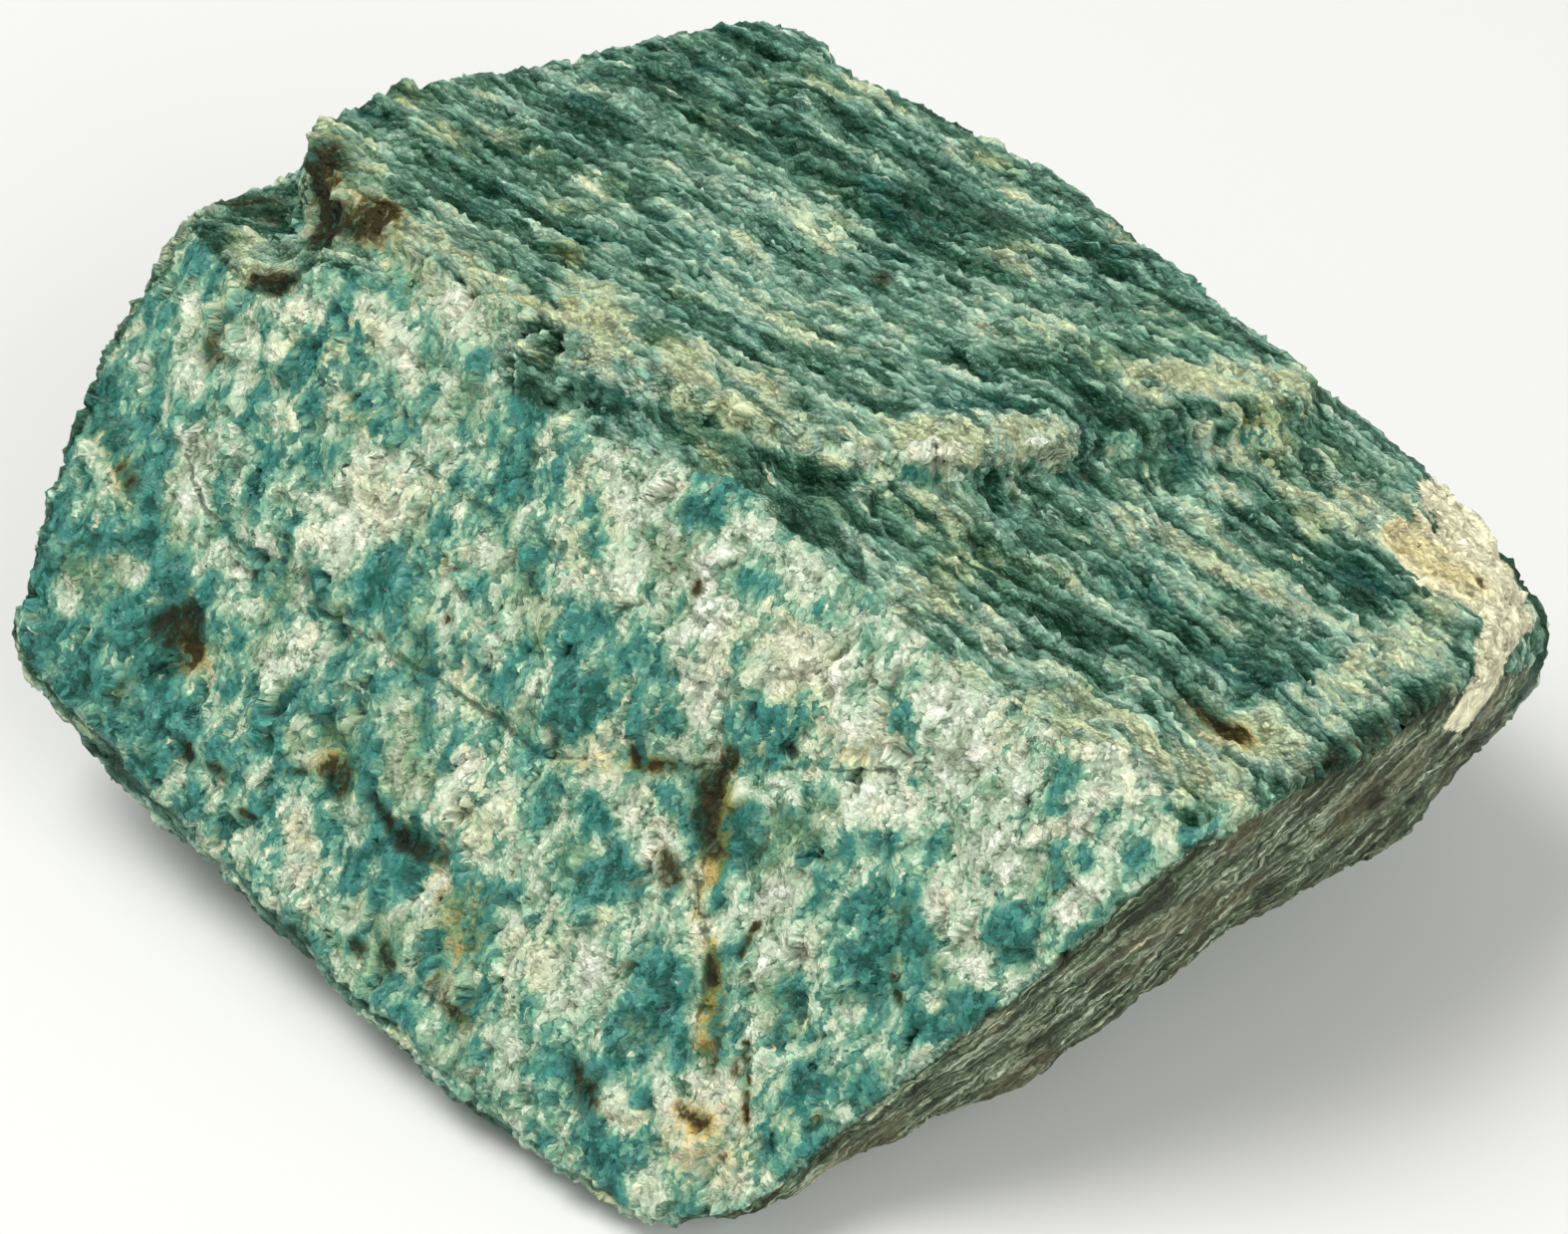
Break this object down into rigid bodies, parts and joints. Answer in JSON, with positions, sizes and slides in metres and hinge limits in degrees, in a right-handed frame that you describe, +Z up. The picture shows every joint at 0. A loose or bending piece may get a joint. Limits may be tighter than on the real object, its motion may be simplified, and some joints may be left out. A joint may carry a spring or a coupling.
{
  "type": "rough amazonite",
  "caption": "Broken block of blue-green feldspar with a sloping front fracture, a ledged top and a flat spot to rest on.",
  "frame": {"origin": "on the ground, under the middle of the stone's bounding box", "axes": "+X along the stone's longest side towards its quartz end, +Y back from the sloping front fracture, +Z up from the flat resting spot"},
  "size_m": [0.0928, 0.0748, 0.0388],
  "materials": {
    "amazonite": "broken, softly glassy"
  },
  "bodies": {
    "root": {"stone": "amazonite"}
  },
  "joints": []
}
